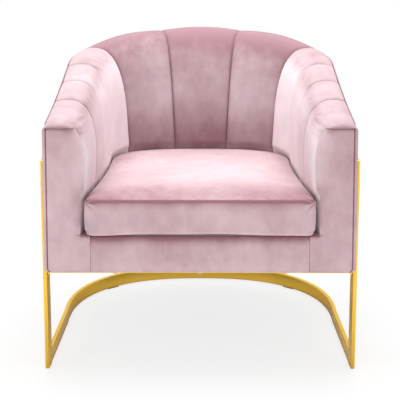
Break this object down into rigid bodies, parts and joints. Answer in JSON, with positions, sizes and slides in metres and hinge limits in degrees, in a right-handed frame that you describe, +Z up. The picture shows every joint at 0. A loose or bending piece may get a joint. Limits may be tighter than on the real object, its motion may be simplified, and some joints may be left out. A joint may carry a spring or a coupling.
{
  "type": "armchair",
  "caption": "Velvet barrel armchair with sewn vertical channels, a loose seat cushion that lifts out, and a gold flat-bar frame on a U-shaped floor ring.",
  "frame": {"origin": "middle of the footprint, on the floor", "axes": "+Z up, the chair faces -Y, +X on the right seen from the front; X is the width and the left and right halves mirror each other"},
  "size_m": [0.775, 0.7428, 0.763],
  "materials": {
    "gold_metal": "polished gold-tone plating on steel flat bar",
    "velvet": "blush pink short-pile velvet",
    "plywood": "raw plywood",
    "hardwood": "raw planed hardwood",
    "spring_steel": "plain zinc-grey steel",
    "foam": "cut polyurethane foam",
    "dust_cloth": "black non-woven cloth",
    "nylon": "matt nylon"
  },
  "bodies": {
    "chair": {"upright_right": "gold_metal", "upright_left": "gold_metal", "floor_ring": "gold_metal", "back_band": "gold_metal", "cross_rail": "gold_metal", "glide_front_right": "nylon", "glide_front_left": "nylon", "glide_back_right": "nylon", "glide_back_left": "nylon", "rail_bolt_1": "spring_steel", "rail_bolt_2": "spring_steel", "rail_bolt_3": "spring_steel", "band_bolt_1": "spring_steel", "band_bolt_2": "spring_steel", "band_bolt_3": "spring_steel", "band_bolt_4": "spring_steel", "base_plate": "plywood", "seat_rail_front": "hardwood", "seat_rail_right": "hardwood", "seat_rail_back": "hardwood", "seat_rail_left": "hardwood", "corner_block_right": "hardwood", "corner_block_left": "hardwood", "arm_post_right": "hardwood", "back_post_right": "hardwood", "arm_post_left": "hardwood", "back_post_left": "hardwood", "shell_right": "plywood", "top_rail_right": "hardwood", "inner_panel_right": "plywood", "shell_back": "plywood", "top_rail_back": "hardwood", "inner_panel_back": "plywood", "shell_left": "plywood", "top_rail_left": "hardwood", "inner_panel_left": "plywood", "seat_spring_1": "spring_steel", "seat_spring_2": "spring_steel", "seat_spring_3": "spring_steel", "seat_spring_4": "spring_steel", "deck_pad": "velvet", "dust_cover": "dust_cloth", "channel_right_1": "velvet", "channel_left_1": "velvet", "channel_right_2": "velvet", "channel_left_2": "velvet", "channel_right_3": "velvet", "channel_left_3": "velvet", "channel_right_4": "velvet", "channel_left_4": "velvet", "channel_back_1": "velvet", "channel_back_2": "velvet", "channel_back_3": "velvet", "outside_cover": "velvet", "arm_front_right": "velvet", "arm_front_left": "velvet", "front_panel": "velvet"},
    "seat_cushion": {"cushion_cover": "velvet", "cushion_foam": "foam", "cushion_zip": "spring_steel"}
  },
  "joints": [
    {"name": "seat_cushion_lift_out", "type": "slide", "parent": "chair", "child": "seat_cushion", "axis": [0, -0.9659, 0.2588], "range_m": [0, 0.3]}
  ]
}
